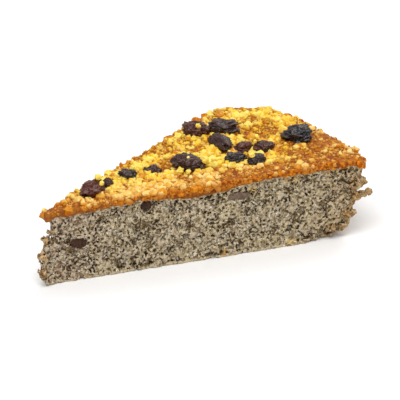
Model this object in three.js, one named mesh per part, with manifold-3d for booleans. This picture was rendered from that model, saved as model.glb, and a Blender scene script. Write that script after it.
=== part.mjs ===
// One slice of a round flourless cake, standing on its flat base: a grey, open sponge under a thin baked layer of
// butter crumble, with raisins baked into the top and three more cut through by the knife. Millimetres, +Z up.
// The slice points along -X and its rim faces +X. It is built around the middle of the whole cake, where its two cuts
// would meet, and then moved so that the origin is in the centre of its base.
import * as THREE from "three";
import { mergeVertices } from "three/addons/utils/BufferGeometryUtils.js";
import Module from "manifold-3d";

const wasm = await Module();
wasm.setup();

// Driving dimensions
const CAKE_RADIUS = 120; // a 24 cm cake tin
const HALF_ANGLE = THREE.MathUtils.degToRad(17.4); // ten slices to the cake
const TIP_X = -58.9; // where the two cuts would meet, once the slice is centred on the origin
const TIP_Y = 1.85;
const SPONGE_TIP_HEIGHT = 24.8; // the middle of the cake has sunk a little
const SPONGE_RIM_HEIGHT = 27.8;
const CRUST_TIP_HEIGHT = 26.8; // the top of the crumble, without its loose nuggets
const CRUST_RIM_HEIGHT = 29;
const THINNEST_CRUST = 1.2;
const GAP = 0.3; // between pieces that rest on each other

// The round wall that stood against the tin
const RIM_TAPER = 6.5; // its foot lies this far inside its top
const FOOT_LENGTH = 13; // the underside curls up over its last few millimetres
const FOOT_HEIGHT = 5.5;
const BACK_CORNER_CUT = 11; // the far corner of the rim is worn round
const FRONT_CORNER_CUT = 1.5;
const TOP_EDGE_DROP = 2; // the top rolls down over its last few millimetres
const TOP_EDGE_WIDTH = 6;

// The blunt, slumped tip: distances from where the cuts would meet
const BLUNT_RADIUS = 4.5; // from here on the slice no longer narrows
const TIP_TOP_INSET = 4; // the sponge leans out towards its foot
const TIP_FOOT_INSET = -0.9;
const TIP_FOOT_ROUND = 4;
const CRUST_TIP_INSET = 0; // and the crust hangs over it

// Relief of the torn crumb
const CRAG_DEPTH = 0.9;
const CRAG_SIZE = 4.2;

const WHOLE_TURN = 2 * Math.PI;

// Repeatable random numbers from 0 to 1.
function seeded(seed) {
  let state = seed;
  return () => {
    state = (state * 1664525 + 1013904223) % 4294967296;
    return state / 4294967296;
  };
}

function between(low, high, share) {
  return low + (high - low) * share;
}

function smoothRise(share) {
  const s = THREE.MathUtils.clamp(share, 0, 1);
  return s * s * (3 - 2 * s);
}

// A fixed random value from -1 to 1 at each corner of a cubic lattice.
function latticeValue(i, j, k) {
  const wave = Math.sin(i * 127.1 + j * 311.7 + k * 74.7) * 43758.5453;
  return 2 * (wave - Math.floor(wave)) - 1;
}

// Smooth noise from -1 to 1 whose lumps are about size mm across.
function noise(point, size) {
  const [x, y, z] = point.map((value) => value / size);
  const [i, j, k] = [x, y, z].map(Math.floor);
  const [a, b, c] = [smoothRise(x - i), smoothRise(y - j), smoothRise(z - k)];
  const along = (dj, dk) => between(latticeValue(i, j + dj, k + dk), latticeValue(i + 1, j + dj, k + dk), a);
  const across = (dk) => between(along(0, dk), along(1, dk), b);
  return between(across(0), across(1), c);
}

function toSolid(geometry) {
  const bare = geometry.clone();
  bare.deleteAttribute("normal");
  bare.deleteAttribute("uv");
  const merged = mergeVertices(bare, 1e-3);
  const triVerts = merged.index
    ? new Uint32Array(merged.index.array)
    : Uint32Array.from({ length: merged.attributes.position.count }, (_, index) => index);
  return new wasm.Manifold(new wasm.Mesh({ numProp: 3, vertProperties: merged.attributes.position.array, triVerts }));
}

function toGeometry(solid) {
  const mesh = solid.getMesh();
  const corners = new Float32Array(mesh.numVert * 3);
  for (let v = 0; v < mesh.numVert; v += 1) {
    corners.set(mesh.vertProperties.subarray(v * mesh.numProp, v * mesh.numProp + 3), v * 3);
  }
  const geometry = new THREE.BufferGeometry();
  geometry.setAttribute("position", new THREE.BufferAttribute(corners, 3));
  geometry.setIndex(new THREE.BufferAttribute(mesh.triVerts, 1));
  return geometry;
}

// Only the largest piece of a solid: what the knife or a pocket left loose is dropped.
function withoutScraps(solid) {
  return solid.decompose().reduce((kept, piece) => (piece.volume() > kept.volume() ? piece : kept));
}

function geometryOf(positions) {
  const geometry = new THREE.BufferGeometry();
  geometry.setAttribute("position", new THREE.Float32BufferAttribute(positions, 3));
  return geometry;
}

// How far out a point lies from the middle of the cake, and across the slice: -1 at the front cut, 1 at the back cut.
function polar(x, y) {
  return { radius: Math.hypot(x, y), across: Math.atan2(y, Math.max(x, 1)) / HALF_ANGLE };
}

// How far the rim lies from the middle of the cake, at its top edge.
function rimRadius(across) {
  const back = THREE.MathUtils.clamp((across - 0.55) / 0.45, 0, 1.1);
  const front = THREE.MathUtils.clamp((-across - 0.85) / 0.15, 0, 1.1);
  return CAKE_RADIUS - BACK_CORNER_CUT * back ** 2 - FRONT_CORNER_CUT * front ** 2;
}

function edgeDrop(radius, across) {
  const over = THREE.MathUtils.clamp((radius - rimRadius(across) + TOP_EDGE_WIDTH) / TOP_EDGE_WIDTH, 0, 1);
  return TOP_EDGE_DROP * over ** 2;
}

// The top of the sponge swells and sinks along the slice, most at the front cut.
function spongeHeight(x, y) {
  const { radius, across } = polar(x, y);
  const rise = between(SPONGE_TIP_HEIGHT, SPONGE_RIM_HEIGHT, radius / CAKE_RADIUS);
  const wave = Math.sin((radius - 16) / 9) * Math.exp(-(((radius - 55) / 30) ** 2));
  return rise + between(1.5, 0.6, (across + 1) / 2) * wave - edgeDrop(radius, across);
}

function crustHeight(x, y) {
  const { radius, across } = polar(x, y);
  const share = 1 - Math.max(1 - radius / CAKE_RADIUS, 0) ** 1.6;
  const relief = 0.5 * noise([x, y, 0], 5) + 0.3 * noise([x, y, 9], 2.6);
  const level = between(CRUST_TIP_HEIGHT, CRUST_RIM_HEIGHT, share) + relief - edgeDrop(radius, across);
  return Math.max(level, spongeHeight(x, y) + GAP + THINNEST_CRUST);
}

// How far the wall has drawn in from the rim's top edge at a height: a taper, and a round foot under it.
function rimInset(height) {
  const taper = RIM_TAPER * (1 - Math.min(height / SPONGE_RIM_HEIGHT, 1));
  const foot = 1 - Math.min(height / FOOT_HEIGHT, 1);
  return taper + FOOT_LENGTH * (1 - Math.sqrt(1 - foot ** 2));
}

// How far the sponge's blunt end stands from where the cuts would meet.
function tipInset(height) {
  const lean = between(TIP_FOOT_INSET, TIP_TOP_INSET, smoothRise((height - 8) / 15));
  const foot = 1 - Math.min(height / TIP_FOOT_ROUND, 1);
  return lean + TIP_FOOT_ROUND * (1 - Math.sqrt(1 - foot ** 2));
}

// The point of the slice's outer wall at a share of the way along a cut, across the slice, and at a height.
function wallPoint(along, across, height, { overhang, tip }) {
  const rim = rimRadius(across) - rimInset(height) + overhang;
  const radius = between(BLUNT_RADIUS - overhang, rim, along);
  const lean = BLUNT_RADIUS - overhang - tip(height);
  const angle = across * HALF_ANGLE;
  const sideways = overhang * across;
  return [
    radius * Math.cos(angle) - lean * (1 - along) ** 12 - sideways * Math.sin(angle),
    radius * Math.sin(angle) + sideways * Math.cos(angle),
    height,
  ];
}

// Moves a point sideways by noise, so that a wall is torn rather than flat.
function torn(point, depth, size) {
  const [x, y, z] = point;
  return [x + depth * noise([x, y, z + 50], size), y + depth * noise([x + 50, y, z], size), z];
}

// A closed block with a flat top and base, whose walls follow the slice's outline through a row of heights.
function slicePrism({ heights, overhang, tip }) {
  const [alongSteps, acrossSteps] = [38, 14];
  const outline = [];
  for (let i = 0; i < alongSteps; i += 1) outline.push([i / alongSteps, -1]);
  for (let j = 0; j < acrossSteps; j += 1) outline.push([1, between(-1, 1, j / acrossSteps)]);
  for (let i = alongSteps; i > 0; i -= 1) outline.push([i / alongSteps, 1]);
  for (let j = 3; j > 0; j -= 1) outline.push([0, between(-1, 1, j / 3)]);
  const rings = heights.map((height) =>
    outline.map(([along, across]) => {
      const point = wallPoint(along, across, height, { overhang, tip });
      return torn(point, height > 0 ? CRAG_DEPTH : CRAG_DEPTH / 2, CRAG_SIZE);
    }),
  );
  const positions = [];
  const count = outline.length;
  for (let level = 0; level + 1 < rings.length; level += 1) {
    for (let n = 0; n < count; n += 1) {
      const [a, b] = [rings[level][n], rings[level][(n + 1) % count]];
      const [d, c] = [rings[level + 1][n], rings[level + 1][(n + 1) % count]];
      positions.push(...a, ...b, ...c, ...a, ...c, ...d);
    }
  }
  for (const [ring, upwards] of [
    [rings[0], false],
    [rings[rings.length - 1], true],
  ]) {
    const contour = ring.map(([x, y]) => new THREE.Vector2(x, y));
    for (const [a, b, c] of THREE.ShapeUtils.triangulateShape(contour, [])) {
      positions.push(...ring[a], ...(upwards ? ring[b] : ring[c]), ...(upwards ? ring[c] : ring[b]));
    }
  }
  return toSolid(geometryOf(positions));
}

// Everything under a surface, on a square grid wide enough for the whole slice.
function groundUnder(heightAt, cell) {
  const [left, right, side, floor] = [-12, CAKE_RADIUS + 12, 48, -10];
  const columns = Math.ceil((right - left) / cell);
  const rows = Math.ceil((2 * side) / cell);
  const corner = (i, j) => [between(left, right, i / columns), between(-side, side, j / rows)];
  const upper = (i, j) => [...corner(i, j), heightAt(...corner(i, j))];
  const lower = (i, j) => [...corner(i, j), floor];
  const positions = [];
  const quad = (a, b, c, d) => positions.push(...a, ...b, ...c, ...a, ...c, ...d);
  for (let i = 0; i < columns; i += 1) {
    for (let j = 0; j < rows; j += 1) {
      quad(upper(i, j), upper(i + 1, j), upper(i + 1, j + 1), upper(i, j + 1));
      quad(lower(i, j), lower(i, j + 1), lower(i + 1, j + 1), lower(i + 1, j));
    }
    quad(lower(i, 0), lower(i + 1, 0), upper(i + 1, 0), upper(i, 0));
    quad(lower(i + 1, rows), lower(i, rows), upper(i, rows), upper(i + 1, rows));
  }
  for (let j = 0; j < rows; j += 1) {
    quad(lower(0, j + 1), lower(0, j), upper(0, j), upper(0, j + 1));
    quad(lower(columns, j), lower(columns, j + 1), upper(columns, j + 1), upper(columns, j));
  }
  return toSolid(geometryOf(positions));
}

// A nugget of crumble or a fallen crumb: a blocky little lump with uneven corners.
function nugget(centre, radius, random) {
  const lump = new THREE.BoxGeometry(1.3, 1.3, 1.3);
  lump.deleteAttribute("normal");
  lump.deleteAttribute("uv");
  const merged = mergeVertices(lump, 1e-3);
  const corner = new THREE.Vector3();
  for (let v = 0; v < merged.attributes.position.count; v += 1) {
    corner.fromBufferAttribute(merged.attributes.position, v).multiplyScalar(radius * between(0.75, 1.15, random()));
    merged.attributes.position.setXYZ(v, corner.x, corner.y, corner.z);
  }
  merged.scale(between(0.9, 1.25, random()), between(0.8, 1.1, random()), between(0.75, 1, random()));
  merged.rotateX(random() * WHOLE_TURN);
  merged.rotateZ(random() * WHOLE_TURN);
  merged.translate(...centre);
  return toSolid(merged);
}

// A raisin: a flattened, pinched oval with wrinkles that run mostly lengthways.
function raisin({ length, width, height, turn, centre, seed }) {
  const ball = new THREE.SphereGeometry(1, 11, 7);
  ball.deleteAttribute("normal");
  ball.deleteAttribute("uv");
  const skin = mergeVertices(ball, 1e-3);
  const corner = new THREE.Vector3();
  for (let v = 0; v < skin.attributes.position.count; v += 1) {
    corner.fromBufferAttribute(skin.attributes.position, v);
    const spin = Math.atan2(corner.z, corner.x);
    const waist = 1 - corner.y ** 2;
    const folds = 0.08 * Math.sin(5 * spin + seed + 2 * corner.y);
    const dents = 0.16 * noise([corner.x * 1.6 + seed, corner.y * 1.6, corner.z * 1.6], 1);
    corner.multiplyScalar(1 + folds * waist + dents);
    skin.attributes.position.setXYZ(v, (corner.x * width) / 2, (corner.y * length) / 2, (corner.z * height) / 2);
  }
  skin.rotateZ(turn - Math.PI / 2);
  skin.translate(...centre);
  return toSolid(skin);
}

// The smooth hollow that a raisin lies in, a little larger than it.
function hollow({ length, width, height, turn, centre }) {
  const ball = new THREE.SphereGeometry(HOLLOW_SHARE, 9, 6);
  ball.scale(width / 2, length / 2, height / 2);
  ball.rotateZ(turn - Math.PI / 2);
  ball.translate(...centre);
  return toSolid(ball);
}

// The raisins on top, placed by eye from the photo: how far from the middle of the cake (x) and sideways from the
// slice's middle line (y), then length, width, height, and the way the long side points in degrees from +X.
const TOP_RAISINS = [
  { x: 81.0, y: 19.3, length: 8.0, width: 5.6, height: 5.6, degrees: -62 },
  { x: 89.7, y: 14.6, length: 9.4, width: 8.2, height: 6.0, degrees: -25 },
  { x: 80.9, y: 4.2, length: 9.6, width: 5.4, height: 5.8, degrees: 84 },
  { x: 84.6, y: -2.9, length: 5.6, width: 5.2, height: 5.2, degrees: -45 },
  { x: 90.0, y: -7.6, length: 7.0, width: 5.4, height: 5.0, degrees: -10 },
  { x: 76.8, y: -8.8, length: 7.0, width: 5.2, height: 5.0, degrees: -25 },
  { x: 81.7, y: -14.6, length: 5.8, width: 5.2, height: 5.0, degrees: -38 },
  { x: 106.5, y: -7.3, length: 9.6, width: 9.4, height: 6.2, degrees: -40 },
  { x: 61.0, y: -3.0, length: 11.8, width: 9.0, height: 6.2, degrees: -30 },
  { x: 49.3, y: 2.6, length: 6.0, width: 5.4, height: 4.4, degrees: -40 },
  { x: 40.8, y: 5.4, length: 6.0, width: 5.4, height: 4.4, degrees: -30 },
  { x: 22.4, y: 1.6, length: 9.2, width: 6.4, height: 6.2, degrees: 12 },
  { x: 30.0, y: 3.5, length: 4.2, width: 3.8, height: 4.0, degrees: -30 },
];
const HOLLOW_SHARE = 1.32;
const RAISIN_SUNK = 1.6; // how deep each lies in the crumble

// The raisins that the knife cut through on the front face: how far along the cut and how high their middles lie.
const CUT_RAISINS = [
  { along: 13.0, z: 14.2, length: 5.2, height: 3.0 },
  { along: 37.5, z: 24.0, length: 3.4, height: 2.4 },
  { along: 71.5, z: 22.4, length: 6.2, height: 2.2 },
];
const CUT_RAISIN_DEPTH = 5; // how far one reaches into the sponge
const CUT_SETBACK = 0.5; // its cut face lies just inside the torn crumb

function topRaisin(index) {
  const { x, y, length, width, height, degrees } = TOP_RAISINS[index];
  const centre = [x, y, crustHeight(x, y) - RAISIN_SUNK + height / 2];
  return { length, width, height, turn: THREE.MathUtils.degToRad(degrees), centre, seed: index * 1.7 };
}

const cutDirection = new THREE.Vector3(Math.cos(HALF_ANGLE), -Math.sin(HALF_ANGLE), 0);
const cutOutwards = new THREE.Vector3(-Math.sin(HALF_ANGLE), -Math.cos(HALF_ANGLE), 0);

// A slab that holds everything inside the front cut, less the setback.
function insideCut(setback) {
  const slab = new THREE.BoxGeometry(2 * CAKE_RADIUS, CAKE_RADIUS, CAKE_RADIUS);
  slab.translate(0, CAKE_RADIUS / 2 + setback, 0);
  slab.rotateZ(-HALF_ANGLE);
  return toSolid(slab);
}

function cutRaisin(index) {
  const { along, z, length, height } = CUT_RAISINS[index];
  const centre = cutDirection.clone().multiplyScalar(along);
  const turn = -HALF_ANGLE;
  return { length, width: CUT_RAISIN_DEPTH, height, turn, centre: [centre.x, centre.y, z], seed: 3 + index };
}

// Crags that stand out from the rim beside the front cut: crumbs in short ragged rows.
const RIM_CRAGS = [
  { along: 115.5, z: 15.6, reach: 4.8, crumbs: 3, size: 2.3 },
  { along: 115.5, z: 20.4, reach: 2.4, crumbs: 3, size: 3 },
  { along: 112.5, z: 9.0, reach: 2.4, crumbs: 2, size: 1.9 },
  { along: 106.5, z: 4.2, reach: 2.4, crumbs: 2, size: 1.9 },
];
// And from the tip: how high each lies, and how far its middle stands out.
const TIP_CRAGS = [
  { z: 19.8, out: 0.6, size: 1.1 },
  { z: 16.8, out: 0.5, size: 1.3 },
  { z: 10.5, out: 0.1, size: 1.5 },
  { z: 5.0, out: 0.1, size: 1.6 },
];

// The crags as solids, each fattened by a margin.
function crags(margin) {
  const random = seeded(11);
  const lumps = [];
  for (const { along, z, reach, crumbs, size } of RIM_CRAGS) {
    for (let n = 0; n < crumbs; n += 1) {
      const share = n / (crumbs - 1);
      const centre = cutDirection.clone().multiplyScalar(along + reach * share).addScaledVector(cutOutwards, -0.5);
      const radius = size * between(1, 0.7, share) + margin;
      lumps.push(nugget([centre.x, centre.y, z + between(-0.6, 0.6, random())], radius, random));
    }
  }
  for (const { z, out, size } of TIP_CRAGS) {
    lumps.push(nugget([tipInset(z) - out, between(-0.6, 0.6, random()), z], size + margin, random));
  }
  return lumps;
}

// The plain sponge, fattened by a margin.
function spongeBody(margin) {
  const heights = [0, 0.9, 2.4, 4.4, 7, 9.8, 12.6, 15.4, 18.2, 21.2, 40];
  const block = slicePrism({ heights, overhang: margin, tip: (height) => tipInset(height) - margin });
  return block.intersect(groundUnder((x, y) => spongeHeight(x, y) + margin, 6));
}

function makeSponge() {
  let sponge = spongeBody(0);
  for (const crag of crags(0)) sponge = sponge.add(crag);
  TOP_RAISINS.forEach((_, index) => {
    sponge = sponge.subtract(hollow(topRaisin(index)));
  });
  CUT_RAISINS.forEach((_, index) => {
    sponge = sponge.subtract(hollow(cutRaisin(index)));
  });
  return withoutScraps(sponge);
}

// Nuggets of crumble, spread by dart throwing: each keeps its distance from the last ones and from the raisins, and
// they thin out towards the rim, where more of the brown crust shows.
const NUGGET_TRIES = 4000;
const NUGGET_SPACING = 7.1;
const BARE_FROM = 100; // mm from the middle of the cake
const EDGE_SPACING = 5.6; // and a row of them hangs over each cut
const BACK_EDGE_LIFT = 1.2; // higher on the far one

function nuggetPlaces(random) {
  const places = [];
  for (let attempt = 0; attempt < NUGGET_TRIES; attempt += 1) {
    const across = between(-0.9, 0.9, random());
    const radius = between(7, rimRadius(across) - 2, Math.sqrt(random()));
    const [x, y] = [radius * Math.cos(across * HALF_ANGLE), radius * Math.sin(across * HALF_ANGLE)];
    const keep = random();
    const clear = TOP_RAISINS.every((it) => Math.hypot(it.x - x, it.y - y) > (it.length + it.width) / 4 + 1.2);
    const apart = places.every((it) => Math.hypot(it.x - x, it.y - y) > NUGGET_SPACING);
    if (clear && apart && (radius < BARE_FROM || keep < 0.45)) places.push({ x, y });
  }
  return places;
}

// Nuggets that hang over the top edge of each cut.
function edgeNuggets(random) {
  const lumps = [];
  for (const side of [-1, 1]) {
    const direction = cutDirection.clone().multiply(new THREE.Vector3(1, -side, 1));
    const outwards = cutOutwards.clone().multiply(new THREE.Vector3(1, -side, 1));
    for (let along = 3; along < CAKE_RADIUS - 8; along += EDGE_SPACING * between(0.7, 1.3, random())) {
      const centre = direction.clone().multiplyScalar(along).addScaledVector(outwards, between(-0.2, 0.5, random()));
      const z = crustHeight(centre.x, centre.y) - between(0.3, 2, random()) + (side > 0 ? BACK_EDGE_LIFT : 0);
      lumps.push(nugget([centre.x, centre.y, z], between(1.2, 1.8, random()), random));
    }
  }
  return lumps;
}

function makeCrumble() {
  const random = seeded(5);
  const underside = (x, y) => spongeHeight(x, y) + GAP;
  const heights = [0, 23.4, 26.6, 60];
  const block = slicePrism({ heights, overhang: 0.5, tip: () => CRUST_TIP_INSET });
  let crumble = block.intersect(groundUnder(crustHeight, 4.7)).subtract(groundUnder(underside, 6));
  const lumps = nuggetPlaces(random).map(({ x, y }) => {
    const radius = between(1.3, 2.2, random() ** 1.5);
    return nugget([x, y, crustHeight(x, y) + radius * 0.2], radius, random);
  });
  for (const lump of [...lumps, ...edgeNuggets(random)]) crumble = crumble.add(lump);
  crumble = crumble.subtract(spongeBody(GAP));
  for (const crag of crags(2 * GAP)) crumble = crumble.subtract(crag);
  TOP_RAISINS.forEach((_, index) => {
    crumble = crumble.subtract(hollow(topRaisin(index)));
  });
  return withoutScraps(crumble);
}

const FINISHES = {
  crumb: { color: 0xa8977a, roughness: 0.85 },
  crumble: { color: 0xe8b850, roughness: 0.6 },
  raisin: { color: 0x3a2a28, roughness: 0.45 },
  cutRaisin: { color: 0x4e382c, roughness: 0.6 },
};

function piece(name, solid, finish) {
  const material = new THREE.MeshStandardMaterial({ ...FINISHES[finish], metalness: 0 });
  const mesh = new THREE.Mesh(toGeometry(solid), material);
  mesh.name = name;
  return mesh;
}

const slice = new THREE.Group();
slice.add(piece("sponge", makeSponge(), "crumb"));
slice.add(piece("crumble_topping", makeCrumble(), "crumble"));
TOP_RAISINS.forEach((_, index) => {
  const name = `raisin_${String(index + 1).padStart(2, "0")}`;
  slice.add(piece(name, raisin(topRaisin(index)), "raisin"));
});
CUT_RAISINS.forEach((_, index) => {
  const solid = raisin(cutRaisin(index)).intersect(insideCut(CUT_SETBACK));
  slice.add(piece(`cut_raisin_${index + 1}`, solid, "cutRaisin"));
});
slice.position.set(TIP_X, TIP_Y, 0);

export default new THREE.Group().add(slice);
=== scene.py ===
"""One slice of flourless cake with raisins and butter crumble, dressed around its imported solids.

The slice stands on its flat base, points along -X and turns its rim to +X. Each section makes one piece or one group
of like pieces: its sizes, its mesh, its finish and its place in the frame.
"""

import math
import random

import bmesh
import bpy
from mathutils import Matrix, Vector, noise


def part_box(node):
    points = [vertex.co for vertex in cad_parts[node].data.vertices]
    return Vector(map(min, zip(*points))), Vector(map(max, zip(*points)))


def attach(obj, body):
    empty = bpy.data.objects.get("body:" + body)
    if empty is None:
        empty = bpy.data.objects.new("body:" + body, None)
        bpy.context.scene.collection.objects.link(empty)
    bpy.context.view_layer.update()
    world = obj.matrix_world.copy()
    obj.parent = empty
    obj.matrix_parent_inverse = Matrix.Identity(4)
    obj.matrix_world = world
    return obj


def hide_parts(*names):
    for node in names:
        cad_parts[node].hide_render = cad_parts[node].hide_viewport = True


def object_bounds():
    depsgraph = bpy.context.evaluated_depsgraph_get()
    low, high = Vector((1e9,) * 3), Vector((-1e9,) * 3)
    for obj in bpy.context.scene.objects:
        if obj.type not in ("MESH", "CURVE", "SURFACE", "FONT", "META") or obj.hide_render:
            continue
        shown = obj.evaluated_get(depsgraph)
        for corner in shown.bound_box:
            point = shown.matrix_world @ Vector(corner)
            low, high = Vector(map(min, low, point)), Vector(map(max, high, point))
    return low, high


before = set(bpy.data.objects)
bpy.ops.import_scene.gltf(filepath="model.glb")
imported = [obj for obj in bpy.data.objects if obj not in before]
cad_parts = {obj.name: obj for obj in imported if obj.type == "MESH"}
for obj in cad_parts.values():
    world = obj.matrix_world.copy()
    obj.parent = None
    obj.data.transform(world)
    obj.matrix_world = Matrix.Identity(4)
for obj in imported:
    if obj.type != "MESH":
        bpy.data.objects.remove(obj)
cad_box = [list(corner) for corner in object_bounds()]

# ---------------------------------------------------------------------------------------------------------------
# The sponge. The real one is ground nuts and seeds bound with egg: a grey, moist crumb full of torn bubbles, baked in
# a round tin. Here it is one porous body: the wedge's outline with bubbles cut into its outer few millimetres.
# ---------------------------------------------------------------------------------------------------------------

MM = 0.001
CUTS_MEET = Vector((-58.9, 1.85, 0)) * MM  # the middle of the whole cake, where the two cuts would meet
CAKE_RADIUS = 120
HALF_ANGLE = math.radians(17.4)
SPONGE_TIP_HEIGHT = 24.8
SPONGE_RIM_HEIGHT = 27.8
RIM_TAPER = 6.5
FOOT_LENGTH, FOOT_HEIGHT = 13, 5.5
BACK_CORNER_CUT, FRONT_CORNER_CUT = 11, 1.5
TOP_EDGE_DROP, TOP_EDGE_WIDTH = 2, 6
BLUNT_RADIUS = 4.5
TIP_FOOT_INSET, TIP_TOP_INSET, TIP_FOOT_ROUND = -0.9, 4, 4

# Crumbs that hang off the sponge: along the front cut, height, reach and radius; then height, reach and radius.
RIM_CRAGS = ((115.5, 15.6, 4.8, 1.9), (115.5, 20.4, 2.4, 2.4), (112.5, 9.0, 2.4, 1.6), (106.5, 4.2, 2.4, 1.6))
TIP_CRAGS = ((19.8, 0.6, 1.1), (16.8, 0.5, 1.3), (10.5, 0.1, 1.5), (5.0, 0.1, 1.6))
# Wider holes in the front cut: along it, height and radius.
WIDE_HOLES = ((13.3, 22.4, 1.3), (21.9, 20.8, 1.1), (95.2, 13.6, 1.3), (102.7, 14.7, 1.1), (58.0, 9.0, 0.9))
# Bits that broke off the foot of the front cut: along it, height and radius.
FOOT_CHIPS = ((13.4, -0.4, 1.5), (34.0, -0.9, 1.5), (98.8, -1.4, 2.6), (104.2, -1.0, 3.2), (109.6, -0.6, 3.4))
# Raisins that the knife cut through: along the front cut, height, length and thickness.
CUT_RAISINS = ((13.0, 14.2, 5.2, 3.0), (37.5, 24.0, 3.4, 2.4), (71.5, 22.4, 6.2, 2.2))

# Buttery specks in the front cut: along it, height, length and thickness.
CUT_SPECKS = ((77.0, 23.4, 6.0, 4.4), (66.0, 1.6, 4.6, 3.6), (91.0, 1.6, 5.4, 3.6), (74.0, 12.5, 2.2, 1.8),
              (18.0, 19.0, 3.2, 2.6), (50.0, 24.8, 8.0, 2.6), (64.0, 25.2, 9.0, 2.8), (92.0, 25.6, 13.0, 3.2),
              (106.0, 26.0, 8.0, 3.0))

BUBBLE_SIZE = 1.3
BUBBLE_WALL = 0.12
BUBBLE_DEPTH = 1.9
SPONGE_VOXEL = 0.39
MOST_TRIANGLES = 190000


class Field:
    """A value inside a node tree: plain arithmetic on it adds Math nodes to the tree."""

    def __init__(self, tree, socket):
        self.tree, self.socket = tree, socket

    def math(self, operation, *others):
        made = self.tree.nodes.new("ShaderNodeMath")
        made.operation = operation
        for slot, value in zip(made.inputs, (self, *others)):
            feed(self.tree, slot, value)
        return Field(self.tree, made.outputs[0])

    def __add__(self, other):
        return self.math("ADD", other)

    def __sub__(self, other):
        return self.math("SUBTRACT", other)

    def __rsub__(self, other):
        return self.math("MULTIPLY_ADD", -1, other)

    def __mul__(self, other):
        return self.math("MULTIPLY", other)

    def __truediv__(self, other):
        return self.math("DIVIDE", other)

    def __pow__(self, other):
        return self.math("POWER", other)

    def low(self, other):
        return self.math("MINIMUM", other)

    def high(self, other):
        return self.math("MAXIMUM", other)

    def ramp(self, start, end, low=0, high=1, shape="SMOOTHSTEP"):
        """Goes from low to high as this value goes from start to end, and stays there."""
        return Field(self.tree, put(self.tree, "ShaderNodeMapRange", {0: self, 1: start, 2: end, 3: low, 4: high},
                                    interpolation_type=shape).outputs[0])

    __radd__ = __add__
    __rmul__ = __mul__


def feed(tree, slot, value):
    """Gives a node's input a field, a socket or a plain value."""
    if isinstance(value, Field):
        tree.links.new(value.socket, slot)
    elif isinstance(value, bpy.types.NodeSocket):
        tree.links.new(value, slot)
    else:
        slot.default_value = value


def put(tree, kind, inputs=None, **settings):
    """Adds a node to a tree, with its settings and its inputs by name or number."""
    made = tree.nodes.new(kind)
    for name, value in settings.items():
        setattr(made, name, value)
    for name, value in (inputs or {}).items():
        feed(tree, made.inputs[name], value)
    return made


def vector_math(tree, operation, first, second=None, **named):
    """A sum on vectors."""
    inputs = {0: first, **named}
    if second is not None:
        inputs[1] = second
    made = put(tree, "ShaderNodeVectorMath", inputs, operation=operation)
    return made.outputs["Value"] if operation in ("DISTANCE", "DOT_PRODUCT", "LENGTH") else made.outputs[0]


def noise_field(tree, vector, size, detail=1.0, shift=0.0, output="Fac"):
    """Smooth noise around 0.5 with lumps of a size, in the unit of the vector."""
    moved = vector_math(tree, "ADD", vector, (shift, shift, shift))
    made = put(tree, "ShaderNodeTexNoise", {"Vector": moved, "Scale": 1 / size, "Detail": detail})
    return Field(tree, made.outputs[output])


def geometry_tree(name, sizes):
    """A Geometry Nodes tree with a mesh in and out and one named input for each size. Returns it with its fields."""
    tree = bpy.data.node_groups.new(name, "GeometryNodeTree")
    tree.interface.new_socket("Geometry", in_out="INPUT", socket_type="NodeSocketGeometry")
    for label, value in sizes.items():
        kind = "NodeSocketInt" if isinstance(value, int) else "NodeSocketFloat"
        tree.interface.new_socket(label, in_out="INPUT", socket_type=kind)
    tree.interface.new_socket("Geometry", in_out="OUTPUT", socket_type="NodeSocketGeometry")
    entry = tree.nodes.new("NodeGroupInput")
    return tree, entry.outputs["Geometry"], {label: Field(tree, entry.outputs[label]) for label in sizes}


def store(tree, geometry, name, value, domain="POINT"):
    """Keeps a field as an attribute of the mesh, for its material."""
    return put(tree, "GeometryNodeStoreNamedAttribute", {"Geometry": geometry, "Name": name, "Value": value},
               domain=domain).outputs[0]


def finish_tree(tree, geometry, material, smooth=True):
    """Ends a tree: instances made real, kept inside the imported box, shaded, with their material."""
    real = put(tree, "GeometryNodeRealizeInstances", {"Geometry": geometry})
    position = put(tree, "GeometryNodeInputPosition").outputs[0]
    inside = vector_math(tree, "MAXIMUM", vector_math(tree, "MINIMUM", position, cad_box[1]), cad_box[0])
    held = put(tree, "GeometryNodeSetPosition", {"Geometry": real.outputs[0], "Position": inside})
    shaded = put(tree, "GeometryNodeSetShadeSmooth", {"Geometry": held.outputs[0], "Shade Smooth": smooth})
    coloured = put(tree, "GeometryNodeSetMaterial", {"Geometry": shaded.outputs[0], "Material": material})
    put(tree, "NodeGroupOutput", {"Geometry": coloured.outputs[0]})


def add_tree(piece, tree, sizes):
    """Puts a tree on a piece as a modifier, with its sizes."""
    modifier = piece.modifiers.new(tree.name, "NODES")
    modifier.node_group = tree
    for item in tree.interface.items_tree:
        if item.in_out == "INPUT" and item.name in sizes:
            modifier[item.identifier] = sizes[item.name]


def make_plain(piece):
    """Turns what a piece's modifiers make into its own plain mesh."""
    depsgraph = bpy.context.evaluated_depsgraph_get()
    shown = piece.evaluated_get(depsgraph)
    mesh = bpy.data.meshes.new_from_object(shown, preserve_all_data_layers=True, depsgraph=depsgraph)
    piece.modifiers.clear()
    piece.data = mesh
    mesh.name = piece.name


def grow(piece, tree, sizes):
    add_tree(piece, tree, sizes)
    make_plain(piece)


def thin_out(piece, most):
    """Joins the smallest faces until the piece has no more than so many triangles."""
    triangles = sum(len(face.vertices) - 2 for face in piece.data.polygons)
    if triangles > most:
        piece.modifiers.new("fewer_faces", "DECIMATE").ratio = most / triangles
        make_plain(piece)


def new_piece(name, mesh=None):
    piece = bpy.data.objects.new(name, mesh or bpy.data.meshes.new(name))
    bpy.context.scene.collection.objects.link(piece)
    return piece


def place(piece, slot, *nodes):
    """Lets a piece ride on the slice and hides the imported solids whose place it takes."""
    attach(piece, "root")
    if nodes:
        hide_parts(*nodes)


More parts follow.
